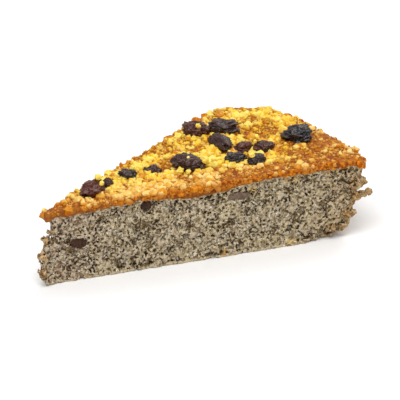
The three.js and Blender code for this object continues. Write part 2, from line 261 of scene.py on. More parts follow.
class Wedge:
    """Fields of where a point lies in the slice, in millimetres from where its cuts would meet."""

    def __init__(self, tree):
        position = put(tree, "GeometryNodeInputPosition").outputs[0]
        self.tree = tree
        self.place = vector_math(tree, "SCALE", vector_math(tree, "SUBTRACT", position, CUTS_MEET), Scale=1 / MM)
        split = put(tree, "ShaderNodeSeparateXYZ", {0: self.place})
        self.x, self.y, self.z = (Field(tree, out) for out in split.outputs)
        self.radius = (self.x * self.x + self.y * self.y).math("SQRT")
        self.across = self.y.math("ARCTAN2", self.x.high(1)) / HALF_ANGLE

    def noise(self, size, detail=1.0, shift=0.0):
        """Noise from -1 to 1."""
        return noise_field(self.tree, self.place, size, detail, shift) * 2 - 1

    def rim_radius(self):
        back = self.across.ramp(0.55, 1, 0, 1, "LINEAR") ** 2
        front = self.across.ramp(-0.85, -1, 0, 1, "LINEAR") ** 2
        return CAKE_RADIUS - back * BACK_CORNER_CUT - front * FRONT_CORNER_CUT

    def edge_drop(self):
        over = (self.radius - self.rim_radius()).ramp(-TOP_EDGE_WIDTH, 0, 0, 1, "LINEAR")
        return over ** 2 * TOP_EDGE_DROP

    def sponge_height(self):
        rise = self.radius.ramp(0, CAKE_RADIUS, SPONGE_TIP_HEIGHT, SPONGE_RIM_HEIGHT, "LINEAR")
        bell = (((self.radius - 55) / 30) ** 2 * -1).math("EXPONENT")
        wave = ((self.radius - 16) / 9).math("SINE") * bell
        return rise + self.across.ramp(-1, 1, 1.5, 0.6, "LINEAR") * wave - self.edge_drop()

    def rim_depth(self):
        """How far inside the round outer wall a point lies."""
        taper = self.z.ramp(0, SPONGE_RIM_HEIGHT, RIM_TAPER, 0, "LINEAR")
        foot = self.z.ramp(0, FOOT_HEIGHT, 1, 0, "LINEAR")
        rounding = (1 - (1 - foot * foot).high(0).math("SQRT")) * FOOT_LENGTH
        return self.rim_radius() - taper - rounding - self.radius

    def tip_lean(self):
        return self.z.ramp(8, 23, TIP_FOOT_INSET, TIP_TOP_INSET)

    def tip_depth(self):
        """How far inside the blunt tip a point lies."""
        foot = self.z.ramp(0, TIP_FOOT_ROUND, 1, 0, "LINEAR")
        rounding = (1 - (1 - foot * foot).high(0).math("SQRT")) * TIP_FOOT_ROUND
        return self.x - self.tip_lean() - rounding

    def cut_depth(self):
        """How far inside the nearer cut a point lies."""
        along = self.x.high(BLUNT_RADIUS) * math.sin(HALF_ANGLE)
        return along - self.y.math("ABSOLUTE") * math.cos(HALF_ANGLE)

    def ball(self, centre, radius, vector=None):
        """How far inside a ball a point lies."""
        return radius - Field(self.tree, vector_math(self.tree, "DISTANCE", vector or self.place, centre))

    def front_oval(self, along, height, length, depth, tall):
        """How far inside an oval body on the front cut a point lies."""
        offset = vector_math(self.tree, "SUBTRACT", self.place, along_front(along, height))
        axes = (along_front(1, 0) * 2 / length, along_front(0, 0, 1) * 2 / depth, Vector((0, 0, 2 / tall)))
        shares = [Field(self.tree, vector_math(self.tree, "DOT_PRODUCT", offset, axis)) for axis in axes]
        reach = (shares[0] * shares[0] + shares[1] * shares[1] + shares[2] * shares[2]).math("SQRT")
        return (1 - reach) * (tall / 2)

    def bent(self):
        """The place, pulled about by up to a millimetre, so that nothing drawn from it is straight or round."""
        pull = noise_field(self.tree, self.place, 1.7, 1, 80, "Color").socket
        pull = vector_math(self.tree, "SUBTRACT", pull, (0.5,) * 3)
        return vector_math(self.tree, "ADD", self.place, vector_math(self.tree, "SCALE", pull, Scale=2.0))

    def outline(self, bent):
        """How far inside the sponge a point lies, with its torn relief and the crumbs that hang off it."""
        smooth = self.cut_depth().low(self.tip_depth()).low(self.rim_depth()).low(self.sponge_height() - self.z)
        fine = self.noise(1.3, 2, 40)
        torn = self.noise(4.2) * 0.7 + fine * 0.75
        crags = None
        for centre, radius in crag_balls():
            ball = self.ball(centre, radius, bent)
            crags = crags.high(ball) if crags else ball
        crags = crags + fine * 1.1
        return (smooth + torn - 0.1).high(crags).low(self.z), crags


def along_front(distance, height, outwards=0.0):
    """A point of the front cut, in millimetres from where the cuts meet."""
    cut = Vector((math.cos(HALF_ANGLE), -math.sin(HALF_ANGLE), 0))
    return cut * distance + Vector((-math.sin(HALF_ANGLE), -math.cos(HALF_ANGLE), 0)) * outwards + Vector((0, 0, height))


def crag_balls():
    """Centres and radii of the crumbs that hang off the rim's front corner and off the tip."""
    rng = random.Random(11)
    balls = []
    for along, height, reach, radius in RIM_CRAGS:
        for share in (0, 0.5, 1):
            centre = along_front(along + reach * share, height + rng.uniform(-0.6, 0.6), -0.5)
            balls.append((centre, radius * (1 - 0.3 * share)))
    for height, out, radius in TIP_CRAGS:
        lean = TIP_FOOT_INSET + (TIP_TOP_INSET - TIP_FOOT_INSET) * min(max((height - 8) / 15, 0), 1)
        balls.append((Vector((lean - out, rng.uniform(-0.6, 0.6), height)), radius))
    return balls


def open_crumb_tree(material):
    """The sponge as a volume: inside its outline, and in a bubble's wall or deeper than the bubbles reach."""
    sizes = {"Bubble Size": BUBBLE_SIZE, "Bubble Wall": BUBBLE_WALL, "Bubble Depth": BUBBLE_DEPTH, "Voxel": SPONGE_VOXEL}
    tree, _, field = geometry_tree("open_crumb", sizes)
    at = Wedge(tree)
    bent = at.bent()
    depth, crags = at.outline(bent)
    cells = put(tree, "ShaderNodeTexVoronoi", {"Vector": bent, "Scale": field["Bubble Size"].math("POWER", -1)},
                feature="DISTANCE_TO_EDGE")
    # The walls thicken here and there, close up under the crust, and nearly close where the tin baked a skin.
    filled = noise_field(tree, at.place, 2.6, 1, 120).ramp(0.35, 0.75, -0.06, 0.12, "LINEAR")
    filled = filled + noise_field(tree, at.place, 7, 1, 140).ramp(0.3, 0.7, -0.05, 0.07, "LINEAR")
    filled = filled + (at.sponge_height() - at.z).ramp(0.4, 1.2, 0.4, 0) + at.rim_depth().ramp(0.7, 1.8, 0.2, 0)
    filled = filled + at.z.ramp(0.5, 1.2, 0.15, 0)
    wall = (field["Bubble Wall"] + filled - Field(tree, cells.outputs["Distance"])) * field["Bubble Size"]
    density = depth.low(wall).high(depth - field["Bubble Depth"])
    for along, height, length, tall in CUT_RAISINS:
        density = density.low(at.front_oval(along, height, length, 4.6, tall) * -1)

    for along, height, radius in (*WIDE_HOLES, *FOOT_CHIPS):
        density = density.low(at.ball(along_front(along, height), radius, bent) * -1)

    low, high = Vector(cad_box[0]) - Vector((1, 1, 1)) * MM, Vector(cad_box[1]) + Vector((1, 1, 1)) * MM
    steps = [field["Voxel"].math("POWER", -1) * ((high - low)[axis] / MM) for axis in range(3)]
    volume = put(tree, "GeometryNodeVolumeCube", {
        "Density": density, "Background": -1.0, "Min": low, "Max": high,
        "Resolution X": steps[0], "Resolution Y": steps[1], "Resolution Z": steps[2]})
    skin = put(tree, "GeometryNodeVolumeToMesh", {"Volume": volume.outputs[0], "Threshold": 0.0, "Adaptivity": 0.0})
    # Bubbles that the knife never opened are loose shells inside: only the largest island is kept.
    island = put(tree, "GeometryNodeInputMeshIsland")
    count = put(tree, "GeometryNodeAccumulateField", {"Value": 1, "Group ID": island.outputs["Island Index"]},
                data_type="INT")
    small = put(tree, "FunctionNodeCompare", {2: count.outputs["Total"], 3: 20000}, data_type="INT", operation="LESS_THAN")
    kept = put(tree, "GeometryNodeDeleteGeometry", {"Geometry": skin.outputs[0], "Selection": small.outputs[0]})
    finish_tree(tree, kept.outputs[0], material)
    return tree, sizes


def ridge_field(tree, reach):
    """How far a point stands out of its surroundings, in millimetres."""
    position = put(tree, "GeometryNodeInputPosition").outputs[0]
    normal = put(tree, "GeometryNodeInputNormal").outputs[0]
    around = put(tree, "GeometryNodeBlurAttribute", {"Iterations": reach}, data_type="FLOAT_VECTOR")
    slot = next(slot for slot in around.inputs if slot.name == "Value" and slot.type == "VECTOR" and slot.enabled)
    feed(tree, slot, position)
    smooth = next(out for out in around.outputs if out.type == "VECTOR" and out.enabled)
    out = vector_math(tree, "DOT_PRODUCT", vector_math(tree, "SUBTRACT", position, smooth), normal)
    return Field(tree, out) / MM


def crumb_marks_tree(material):
    """What the sponge's colour depends on: depth in a bubble, how far a wall stands out, and the baked places, partly
    painted shade.
    """
    tree, mesh, _ = geometry_tree("crumb_marks", {})
    at = Wedge(tree)
    depth, crags = at.outline(at.bent())
    marked = store(tree, mesh, "pore", depth)
    marked = store(tree, marked, "ridge", ridge_field(tree, 4))
    # Baked places: browned skin at the rim wall and on the hanging crumbs, plus a band just under the crust that is
    # partly browning and partly painted shade.
    skin = at.rim_depth().ramp(0.3, 3, 1, 0).high(at.rim_depth().ramp(3, 22, 0.35, 0)).high(crags.ramp(-1.5, 0.3))
    marked = store(tree, marked, "toast_and_shade", skin.high((at.sponge_height() - at.z).ramp(0.8, 0.1, 0, 0.6)))
    marked = store(tree, marked, "base", (at.z + at.noise(2.5, 1, 19) * 0.8).ramp(2.2, 0.8))
    specks = [at.front_oval(along, height, length, 3, tall) for along, height, length, tall in CUT_SPECKS]
    speck = specks[0]
    for other in specks[1:]:
        speck = speck.high(other)
    marked = store(tree, marked, "speck", (speck + at.noise(1.6, 1, 29) * 0.9).ramp(0.1, 0.7))
    marked = store(tree, marked, "near_tip", (at.x + at.noise(6, 1, 9) * 6).ramp(30, 8))
    finish_tree(tree, marked, material)
    return tree, {}


def paint(red, green, blue):
    """A colour as a screen shows it, from 0 to 255, in the linear values that a shader takes."""
    return (*((part / 255) ** 2.2 for part in (red, green, blue)), 1)


def tint(tree, amount, first, second, blend="MIX"):
    """A colour between two, by an amount from 0 to 1."""
    return put(tree, "ShaderNodeMix", {0: amount, 6: first, 7: second}, data_type="RGBA", blend_type=blend).outputs[2]


def mark(tree, name):
    """An attribute of the mesh, in its material."""
    return Field(tree, put(tree, "ShaderNodeAttribute", attribute_name=name).outputs["Fac"])


def new_material(name, **sockets):
    """A material with plain values on its shader. Returns it with its tree, its shader and its place in millimetres."""
    material = bpy.data.materials.new(name)
    material.use_nodes = True
    tree = material.node_tree
    shader = tree.nodes["Principled BSDF"]
    for label, value in sockets.items():
        shader.inputs[label.replace("_", " ")].default_value = value
    own = put(tree, "ShaderNodeTexCoord").outputs["Object"]
    return material, tree, shader, vector_math(tree, "SCALE", own, Scale=1 / MM)


def roughen(tree, shader, height, distance, strength=1.0):
    """Fine relief from a field, to a depth in millimetres."""
    bump = put(tree, "ShaderNodeBump", {"Strength": strength, "Distance": distance * MM, "Height": height})
    feed(tree, shader.inputs["Normal"], bump.outputs[0])


def crumb_material():
    """Grey-brown egg crumb flecked with nut skin, thin torn walls in painted highlight, bubbles in deep brown painted
    shade.
    """
    material, tree, shader, spot = new_material("open_crumb", Roughness=0.75, Specular_IOR_Level=0.25)
    patches = noise_field(tree, spot, 5.5, 2, 10).ramp(0.38, 0.62)
    body = tint(tree, patches, paint(164, 142, 98), paint(154, 135, 108))
    body = tint(tree, noise_field(tree, spot, 1.7, 2, 30).ramp(0.55, 0.7, 0, 0.6), body, paint(176, 152, 86))
    body = tint(tree, noise_field(tree, spot, 2.3, 2, 55).ramp(0.56, 0.7, 0, 0.7), body, paint(126, 103, 90))
    body = tint(tree, mark(tree, "near_tip") * 0.8, body, paint(146, 116, 96))
    body = tint(tree, mark(tree, "base") * 0.35, body, paint(186, 154, 104))
    # Browned crust colour where baked; in the band under the crust it is partly painted shade.
    toast_and_shade = mark(tree, "toast_and_shade") * noise_field(tree, spot, 2.0, 2, 70).ramp(0.3, 0.6, 0.5, 1)
    crusty = tint(tree, noise_field(tree, spot, 1.4, 2, 75).ramp(0.4, 0.6), paint(176, 130, 74), paint(128, 82, 36))
    body = tint(tree, toast_and_shade, body, crusty)
    # Painted highlight: pale where a wall stands out of its surroundings, outside the bubbles, browner where baked.
    painted_ridge_light = mark(tree, "ridge").ramp(0.1, 0.34, 0, 0.5) * (1 - mark(tree, "pore").ramp(0.3, 1.4))
    colour = tint(tree, painted_ridge_light, body, tint(tree, toast_and_shade, paint(232, 214, 182), paint(210, 166, 106)))
    # Painted shade: deep brown the deeper a point lies in a bubble or the further it sinks below its surroundings.
    inside = mark(tree, "pore").ramp(0.5, 1.8)
    inside = (inside + mark(tree, "ridge").ramp(-0.04, -0.3, 0, 0.6)).low(1)
    colour = tint(tree, inside * 0.8, colour, paint(124, 94, 50))
    # Torn walls seen on edge, as painted highlights: short, thin, pale lines between painted dark gaps of shade.
    painted_highlight_lines = (noise_field(tree, spot, 1.5, 1.5, 20) - 0.5).math("ABSOLUTE").ramp(0.05, 0.012)
    painted_highlight_lines = painted_highlight_lines * noise_field(tree, spot, 1.1, 1, 60).ramp(0.38, 0.56)
    # Painted highlight: pale flakes of about a millimetre scattered over the crumb.
    painted_highlight_flakes = noise_field(tree, spot, 1.3, 2, 85).ramp(0.52, 0.6)
    colour = tint(tree, painted_highlight_flakes * 0.6, colour, paint(214, 196, 160))
    butter = tint(tree, noise_field(tree, spot, 2.4, 1, 5).ramp(0.4, 0.6), paint(236, 206, 126), paint(206, 146, 50))
    colour = tint(tree, mark(tree, "speck") * 0.65, colour, butter)
    # Painted shade: dark brown gaps scattered between the walls.
    gap = noise_field(tree, spot, 0.95, 2, 40).ramp(0.45, 0.36)
    colour = tint(tree, gap * 0.6, colour, paint(104, 76, 38))
    # Painted highlight: the pale lines of the torn walls, browner where the crumb is baked.
    colour = tint(tree, painted_highlight_lines * 0.95, colour, tint(tree, toast_and_shade, paint(255, 244, 218), paint(222, 178, 114)))
    flecks = noise_field(tree, spot, 0.9, 1, 90).ramp(0.72, 0.78)
    colour = tint(tree, flecks * 0.7, colour, paint(190, 118, 44))
    feed(tree, shader.inputs["Base Color"], colour)
    roughen(tree, shader, painted_highlight_lines + noise_field(tree, spot, 1.1, 3, 15) * 1.6 - gap, 0.5)
    return material


crumb = crumb_material()
sponge = new_piece("open_crumb")
grow(sponge, *open_crumb_tree(crumb))
thin_out(sponge, MOST_TRIANGLES)
grow(sponge, *crumb_marks_tree(crumb))
place(sponge, "crumb", "sponge")

# ---------------------------------------------------------------------------------------------------------------
# The crust. The real one is the top of the same batter with melted butter and sugar baked into it: a thin, uneven
# brown sheet that the knife tore. Here it is a closed sheet that lies on the sponge and hangs a little over its cuts.
# ---------------------------------------------------------------------------------------------------------------

CRUST_TIP_HEIGHT, CRUST_RIM_HEIGHT = 26.8, 29
CRUST_THINNEST = 1.5
CRUST_TIP_INSET = 1.4
CRUST_VOXEL = 0.42
CRUST_TRIANGLES = 120000


def crust_height(at):
    """The smooth top of the crust."""
    share = 1 - (1 - at.radius / CAKE_RADIUS).high(0) ** 1.6
    return share.ramp(0, 1, CRUST_TIP_HEIGHT, CRUST_RIM_HEIGHT, "LINEAR") - at.edge_drop()


def crust_tree(material):
    sizes = {"Voxel": CRUST_VOXEL, "Relief": 1.0}
    tree, _, field = geometry_tree("baked_crust", sizes)
    at = Wedge(tree)
    relief = (at.noise(5, 1, 7) * 0.5 + at.noise(1.7, 2, 17) * 0.7 + at.noise(0.8, 1, 27) * 0.3) * field["Relief"]
    floor = at.sponge_height()
    top = crust_height(at).high(floor + CRUST_THINNEST) + relief
    side = at.cut_depth().low(at.x - CRUST_TIP_INSET).low(at.rim_radius() - at.radius)
    torn = at.noise(2.6, 2, 37) * 0.9 + at.noise(0.9, 1, 47) * 0.4 + 0.35
    ragged = floor - 0.5 + at.noise(3.4, 2, 57) * 1.1
    density = (top - at.z).low(at.z - ragged).low(side + torn)
    low, high = Vector(cad_box[0]) - Vector((1, 1, -21)) * MM, Vector(cad_box[1]) + Vector((1, 1, 1)) * MM
    steps = [field["Voxel"].math("POWER", -1) * ((high - low)[axis] / MM) for axis in range(3)]
    volume = put(tree, "GeometryNodeVolumeCube", {
        "Density": density, "Background": -1.0, "Min": low, "Max": high,
        "Resolution X": steps[0], "Resolution Y": steps[1], "Resolution Z": steps[2]})
    skin = put(tree, "GeometryNodeVolumeToMesh", {"Volume": volume.outputs[0], "Threshold": 0.0, "Adaptivity": 0.0})
    marked = store(tree, skin.outputs[0], "edge", side.ramp(1.2, 0.2))
    marked = store(tree, marked, "below_top", crust_height(at) - at.z)
    marked = store(tree, marked, "from_tip", at.radius)
    finish_tree(tree, marked, material)
    return tree, sizes


def crust_material():
    """Butter-brown crust: golden where it is thin, deeper brown the further it lies below its top, orange and moist
    where it was cut.
    """
    material, tree, shader, spot = new_material("baked_crust", Roughness=0.55, Specular_IOR_Level=0.15)
    golden = tint(tree, noise_field(tree, spot, 3.2, 2, 5).ramp(0.35, 0.65), paint(180, 108, 26), paint(140, 68, 8))
    golden = tint(tree, noise_field(tree, spot, 1.1, 2, 15).ramp(0.5, 0.68, 0, 0.8), golden, paint(122, 56, 8))
    golden = tint(tree, noise_field(tree, spot, 0.8, 2, 25).ramp(0.58, 0.72, 0, 0.8), golden, paint(240, 182, 84))
    cut = tint(tree, noise_field(tree, spot, 1.2, 2, 35).ramp(0.36, 0.62), paint(204, 122, 22), paint(130, 60, 4))
    cut = tint(tree, mark(tree, "from_tip").ramp(60, 20, 0, 0.6), cut, paint(136, 84, 38))
    colour = tint(tree, mark(tree, "edge"), golden, cut)
    # Deeper brown the further a point lies below the crust's smooth top.
    colour = tint(tree, mark(tree, "below_top").ramp(1.6, 3.4, 0, 0.8), colour, paint(128, 74, 26))
    feed(tree, shader.inputs["Base Color"], colour)
    roughen(tree, shader, noise_field(tree, spot, 0.45, 3), 0.2)
    return material


crust = new_piece("baked_crust")
grow(crust, *crust_tree(crust_material()))
thin_out(crust, CRUST_TRIANGLES)
place(crust, "crumble")

# ---------------------------------------------------------------------------------------------------------------
# The crumble. The real one is rubbed butter, sugar and yellow meal: lumps of 2 to 4 mm, many smaller crumbs and sandy
# grains, baked on where they fell. Here each size is one piece of separate lumpy crumbs, sunk a little in the crust.
# ---------------------------------------------------------------------------------------------------------------

CRUMB_KINDS = (
    # name, faces step, least and greatest diameter, spacing, number per square cm, clumping, seed
    ("crumble_nuggets", 2, 1.8, 3.7, 1.6, 64, 1.4, 1),
    ("crumble_crumbs", 2, 1.1, 2.1, 0.9, 130, 1.1, 2),
    ("crumble_grains", 1, 0.5, 1.1, 0.5, 320, 0.7, 3),
)
RAISIN_NAMES = tuple(f"raisin_{index:02d}" for index in range(1, 14))
BARE_PATCHES = (
    # browned places with few crumbs, in millimetres from where the cuts meet: x, y, reach
    (98, 5, 5), (111, 27, 6), (72, 9, 3.5), (66, -17, 4), (99, -22, 9), (110, -13, 9), (58, 4, 3), (6, -1, 5),
)


def crumb_cover(spot):
    """How thickly crumbs lie at a place of the crust, from 0 to 1."""
    here = (spot - CUTS_MEET) / MM
    from_front = here.x * math.sin(HALF_ANGLE) + here.y * math.cos(HALF_ANGLE)
    cover = 1 - 0.6 * min(max((here.x - 58) / 12, 0), 1) * min(max((9 - from_front) / 5, 0), 1)
    for x, y, reach in BARE_PATCHES:
        gap = math.hypot(here.x - x, here.y - y) / reach
        cover = min(cover, 0.2 + 0.8 * min(max(gap - 0.5, 0), 1))
    cover *= 1 - 0.5 * min(max((math.hypot(here.x, here.y) - 106) / 8, 0), 1) * min(max((36 - from_front) / 8, 0), 1)
    cover *= 1 - 0.6 * min(max((12 - here.x) / 6, 0), 1)
    cover *= min(max(0.75 + 1.2 * noise.noise(here / 6), 0.3), 1)
    for low, high in raisin_boxes:
        middle = (low + high) / 2
        gap = math.hypot((spot.x - middle.x) / (high.x - low.x), (spot.y - middle.y) / (high.y - low.y)) * 2
        cover *= min(max((gap - 0.74) / 0.2, 0), 1)
    return cover


def scatter_tree(name, material, step, least, greatest, spacing, number, clumping, seed):
    sizes = {"Least": least, "Greatest": greatest, "Spacing": spacing * MM, "Per Area": number * 10000.0,
             "Clumping": clumping, "Seed": seed}
    tree, ground, field = geometry_tree(name, sizes)
    cover = put(tree, "GeometryNodeInputNamedAttribute", {"Name": "cover"}, data_type="FLOAT").outputs["Attribute"]
    points = put(tree, "GeometryNodeDistributePointsOnFaces", {
        "Mesh": ground, "Distance Min": field["Spacing"], "Density Max": field["Per Area"],
        "Density Factor": Field(tree, cover) ** field["Clumping"], "Seed": field["Seed"]}, distribute_method="POISSON")
    lump = put(tree, "GeometryNodeMeshIcoSphere", {"Radius": 0.5 * MM, "Subdivisions": step})
    turn = put(tree, "FunctionNodeRandomValue", {0: (0, 0, 0), 1: (6.28, 6.28, 6.28), "Seed": 3},
               data_type="FLOAT_VECTOR")
    share = put(tree, "FunctionNodeRandomValue", {2: 0.0, 3: 1.0, "Seed": 5}, data_type="FLOAT").outputs[1]
    size = Field(tree, share).ramp(0, 1, field["Least"], field["Greatest"], "LINEAR")
    stretch = put(tree, "FunctionNodeRandomValue", {0: (0.75, 0.75, 0.65), 1: (1.15, 1.15, 1.0), "Seed": 6},
                  data_type="FLOAT_VECTOR")
    scale = vector_math(tree, "SCALE", stretch.outputs[0], Scale=size)
    lumps = put(tree, "GeometryNodeInstanceOnPoints", {
        "Points": points.outputs["Points"], "Instance": lump.outputs["Mesh"], "Rotation": turn.outputs[0],
        "Scale": scale})
    tone = put(tree, "FunctionNodeRandomValue", {2: 0.0, 3: 1.0, "Seed": 8}, data_type="FLOAT").outputs[1]
    toned = store(tree, lumps.outputs[0], "tone", tone, "INSTANCE")
    toned = store(tree, toned, "size", size, "INSTANCE")
    real = put(tree, "GeometryNodeRealizeInstances", {"Geometry": toned})
    # Every crumb gets its own shape: coarse noise makes it lumpy and chipped, in proportion to its size.
    at = Wedge(tree)
    own = Field(tree, put(tree, "GeometryNodeInputNamedAttribute", {"Name": "size"}, data_type="FLOAT").outputs[
        "Attribute"])
    lumpy = at.noise(least * 0.6, 1, 3) * 1.1 + at.noise(least * 0.3, 1, 13) * 0.5
    normal = put(tree, "GeometryNodeInputNormal").outputs[0]
    push = vector_math(tree, "SCALE", normal, Scale=lumpy * own * 0.3 * MM)
    torn = put(tree, "GeometryNodeSetPosition", {"Geometry": real.outputs[0], "Offset": push})
    marked = store(tree, torn.outputs[0], "lift", at.z - crust_height(at))
    upward = put(tree, "ShaderNodeSeparateXYZ", {0: put(tree, "GeometryNodeInputNormal").outputs[0]}).outputs[2]
    marked = store(tree, marked, "upward", upward)
    from_front = at.x * math.sin(HALF_ANGLE) + at.y * math.cos(HALF_ANGLE)
    rim = (at.radius + at.noise(6, 1, 33) * 8).ramp(96, 112) * from_front.ramp(36, 28)
    marked = store(tree, marked, "yellow", (from_front + at.noise(7, 1, 23) * 5).ramp(5, 12) * (1 - rim))
    band = at.x.ramp(40, 90, 1.5, 3.4)
    edge = (at.cut_depth() + at.noise(2.5, 1, 43) * 2).ramp(band, 0).high((CAKE_RADIUS - at.radius).ramp(6, 0))
    tip = (at.x + at.noise(3, 1, 53) * 4).ramp(20, 6, 0, 0.5)
    marked = store(tree, marked, "toasted", (edge * at.x.ramp(40, 90, 0.7, 1)).high(rim * 0.5).high(tip))
    finish_tree(tree, marked, material, smooth=False)
    return tree, sizes


def crumble_material():
    """Baked butter crumble: pale yellow and dry, toasted here and there, with deep gold painted shade on low crumbs and
    undersides.
    """
    material, tree, shader, spot = new_material("butter_crumble", Roughness=0.6, Specular_IOR_Level=0.12)
    tone = mark(tree, "tone")
    rich = tint(tree, tone.ramp(0, 0.75), paint(255, 234, 112), paint(250, 206, 62))
    plain = tint(tree, tone.ramp(0, 0.75), paint(252, 220, 130), paint(238, 184, 78))
    colour = tint(tree, mark(tree, "yellow"), plain, rich)
    colour = tint(tree, tone.ramp(0.75, 1), colour, paint(214, 138, 38))
    colour = tint(tree, noise_field(tree, spot, 1.3, 2, 5).ramp(0.52, 0.72, 0, 0.6), colour, paint(252, 238, 184))
    # Painted shade: deep orange-brown on crumbs that lie low on the crust and on faces that turn downwards.
    low = mark(tree, "lift").ramp(1.1, -0.3, 0, 0.88).high(mark(tree, "upward").ramp(0.5, -0.4, 0, 0.8))
    colour = tint(tree, low, colour, paint(178, 102, 10))
    amber = tint(tree, noise_field(tree, spot, 1.5, 2, 35).ramp(0.35, 0.65), paint(228, 142, 24), paint(164, 78, 4))
    colour = tint(tree, mark(tree, "toasted") * tone.ramp(0.2, 0.65, 0.15, 1), colour, amber)
    feed(tree, shader.inputs["Base Color"], colour)
    roughen(tree, shader, noise_field(tree, spot, 0.5, 3), 0.25)
    return material


raisin_boxes = [[Vector(corner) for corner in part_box(name)] for name in RAISIN_NAMES]
ground = crust.data.copy()
cover = ground.attributes.new("cover", "FLOAT", "POINT")
for vertex, value in zip(ground.vertices, cover.data):
    facing = vertex.normal.z
    low = ground.attributes["below_top"].data[vertex.index].value > 1.6
    value.value = 0 if facing < -0.1 or low else crumb_cover(vertex.co)
butter_crumble = crumble_material()
for name, step, least, greatest, spacing, number, clumping, seed in CRUMB_KINDS:
    piece = new_piece(name, ground.copy())
    piece.data.materials.clear()
    grow(piece, *scatter_tree(name, butter_crumble, step, least, greatest, spacing, number, clumping,
                              seed))
    if name == "crumble_crumbs":
        place(piece, "crumble", "crumble_topping")
    else:
        place(piece, "crumble")

# ---------------------------------------------------------------------------------------------------------------
# The raisins on top. The real ones are dried and baked: wrinkled, nearly black skins with a dull shine, some with a
# red-brown glow where the light passes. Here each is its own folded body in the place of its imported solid.
# ---------------------------------------------------------------------------------------------------------------

RAISIN_SIZES = (
    # length, width, height in millimetres, degrees it is turned, and how red its skin is from -1 (blue) to 1
    (8.0, 5.6, 5.6, -62, 0.7), (9.4, 8.2, 6.0, -25, 0.1), (9.6, 5.4, 5.8, 84, 0.2), (5.6, 5.2, 5.2, -45, 0.9),
    (7.0, 5.4, 5.0, -10, 0.6), (7.0, 5.2, 5.0, -25, -0.5), (5.8, 5.2, 5.0, -38, 0.0), (9.6, 9.4, 6.2, -40, -1.0),
    (11.8, 9.0, 6.2, -30, 0.3), (6.0, 5.4, 4.4, -40, 0.3), (6.0, 5.4, 4.4, -40, -0.3), (9.2, 6.4, 6.2, 12, 1.0),
    (4.2, 3.8, 4.0, -30, 0.4),
)
# How far a skin's folds reach past its solid: to each side as a share of its size, and up in millimetres.
RAISIN_SPREAD = (0.2, 0.13, 0.22, 0.1, 0.08, 0.1, 0.1, 0.05, 0.02, 0.08, 0.1, 0.08, 0.08)
RAISIN_RISE = 0.3


def wrinkled(name, length, width, height, degrees, middle, seed):
    """A folded, creased raisin as a mesh, in metres."""
    body = bmesh.new()
    bmesh.ops.create_icosphere(body, subdivisions=5, radius=1)
    turn = Matrix.Rotation(math.radians(degrees), 3, "Z")
    shift = Vector((seed * 3.7, seed * 1.3, seed * 2.1))
    folds = body.verts.layers.float.new("fold")
    for vertex in body.verts:
        way = vertex.co.normalized()
        bent = way + 0.5 * noise.noise_vector(way * 1.4 + shift)
        broad = abs(noise.noise(Vector((bent.x * 1.2, bent.y * 2.4, bent.z * 2.0)) + shift))
        crease = max(1 - 3.2 * abs(noise.noise(Vector((bent.x * 1.6, bent.y * 4.4, bent.z * 3.4)) - shift)), 0)
        fine = max(1 - 3 * abs(noise.noise(bent * 6.5 + shift * 2)), 0)
        swell = noise.noise(way * 1.3 + shift * 3)
        size = 0.84 + 0.34 * swell + 0.5 * min(broad, 0.5) + 0.15 * crease + 0.05 * fine
        vertex[folds] = 0.7 * broad + 0.35 * crease + 0.15 * fine
        vertex.co = turn @ Vector((way.x * size * length / 2, way.y * size * width / 2, way.z * size * height / 2))
        vertex.co = vertex.co * MM + middle
    mesh = bpy.data.meshes.new(name)
    body.to_mesh(mesh)
    body.free()
    return mesh


def raisin_material():
    """Dried grape skin: brown-black to red-brown or blue-black, waxy, with a dull sheen, pale dusty patches, painted
    shade in its creases and painted highlights on its ridges.
    """
    material, tree, shader, spot = new_material(
        "raisin_skin", Roughness=0.36, Specular_IOR_Level=0.35, Coat_Weight=0.35, Coat_Roughness=0.16)
    red = mark(tree, "red")
    skin = tint(tree, red.ramp(-1, 0, 0, 1, "LINEAR"), paint(24, 25, 32), paint(44, 24, 20))
    skin = tint(tree, red.ramp(0, 1, 0, 1, "LINEAR"), skin, paint(84, 32, 18))
    skin = tint(tree, noise_field(tree, spot, 1.6, 2, 5).ramp(0.5, 0.7, 0, 0.35), skin, paint(92, 70, 62))
    # Painted shade: nearly black in the creases between the folds.
    skin = tint(tree, mark(tree, "fold").ramp(0.2, 0.04, 0, 0.85), skin, paint(16, 10, 9))
    # Painted highlight: lighter along the raised ridges of the folds.
    skin = tint(tree, mark(tree, "fold").ramp(0.42, 0.62, 0, 0.3), skin, paint(128, 98, 84))
    feed(tree, shader.inputs["Base Color"], skin)
    rough = noise_field(tree, spot, 1.1, 2, 45).ramp(0.3, 0.7, 0.22, 0.46)
    feed(tree, shader.inputs["Roughness"], rough)
    roughen(tree, shader, noise_field(tree, spot, 0.6, 4), 0.25)
    return material


# Crumbs that fell on the raisins: the raisin, how far from its middle along x and y, and the crumb's diameter.
PERCHED_CRUMBS = (
    (1, -0.8, -3.0, 1.9), (5, -2.4, 1.8, 1.4), (7, -2.3, 0.2, 2.2), (9, -5.6, -1.8, 2.7), (9, -3.8, -4.0, 1.8),
    (9, -1.8, -1.4, 1.1), (9, 2.6, -4.9, 2.6), (10, -1.8, 0.8, 1.4), (11, 2.0, 0.4, 1.7), (12, 3.2, 1.0, 2.4),
    (12, 3.2, -1.0, 1.8),
)


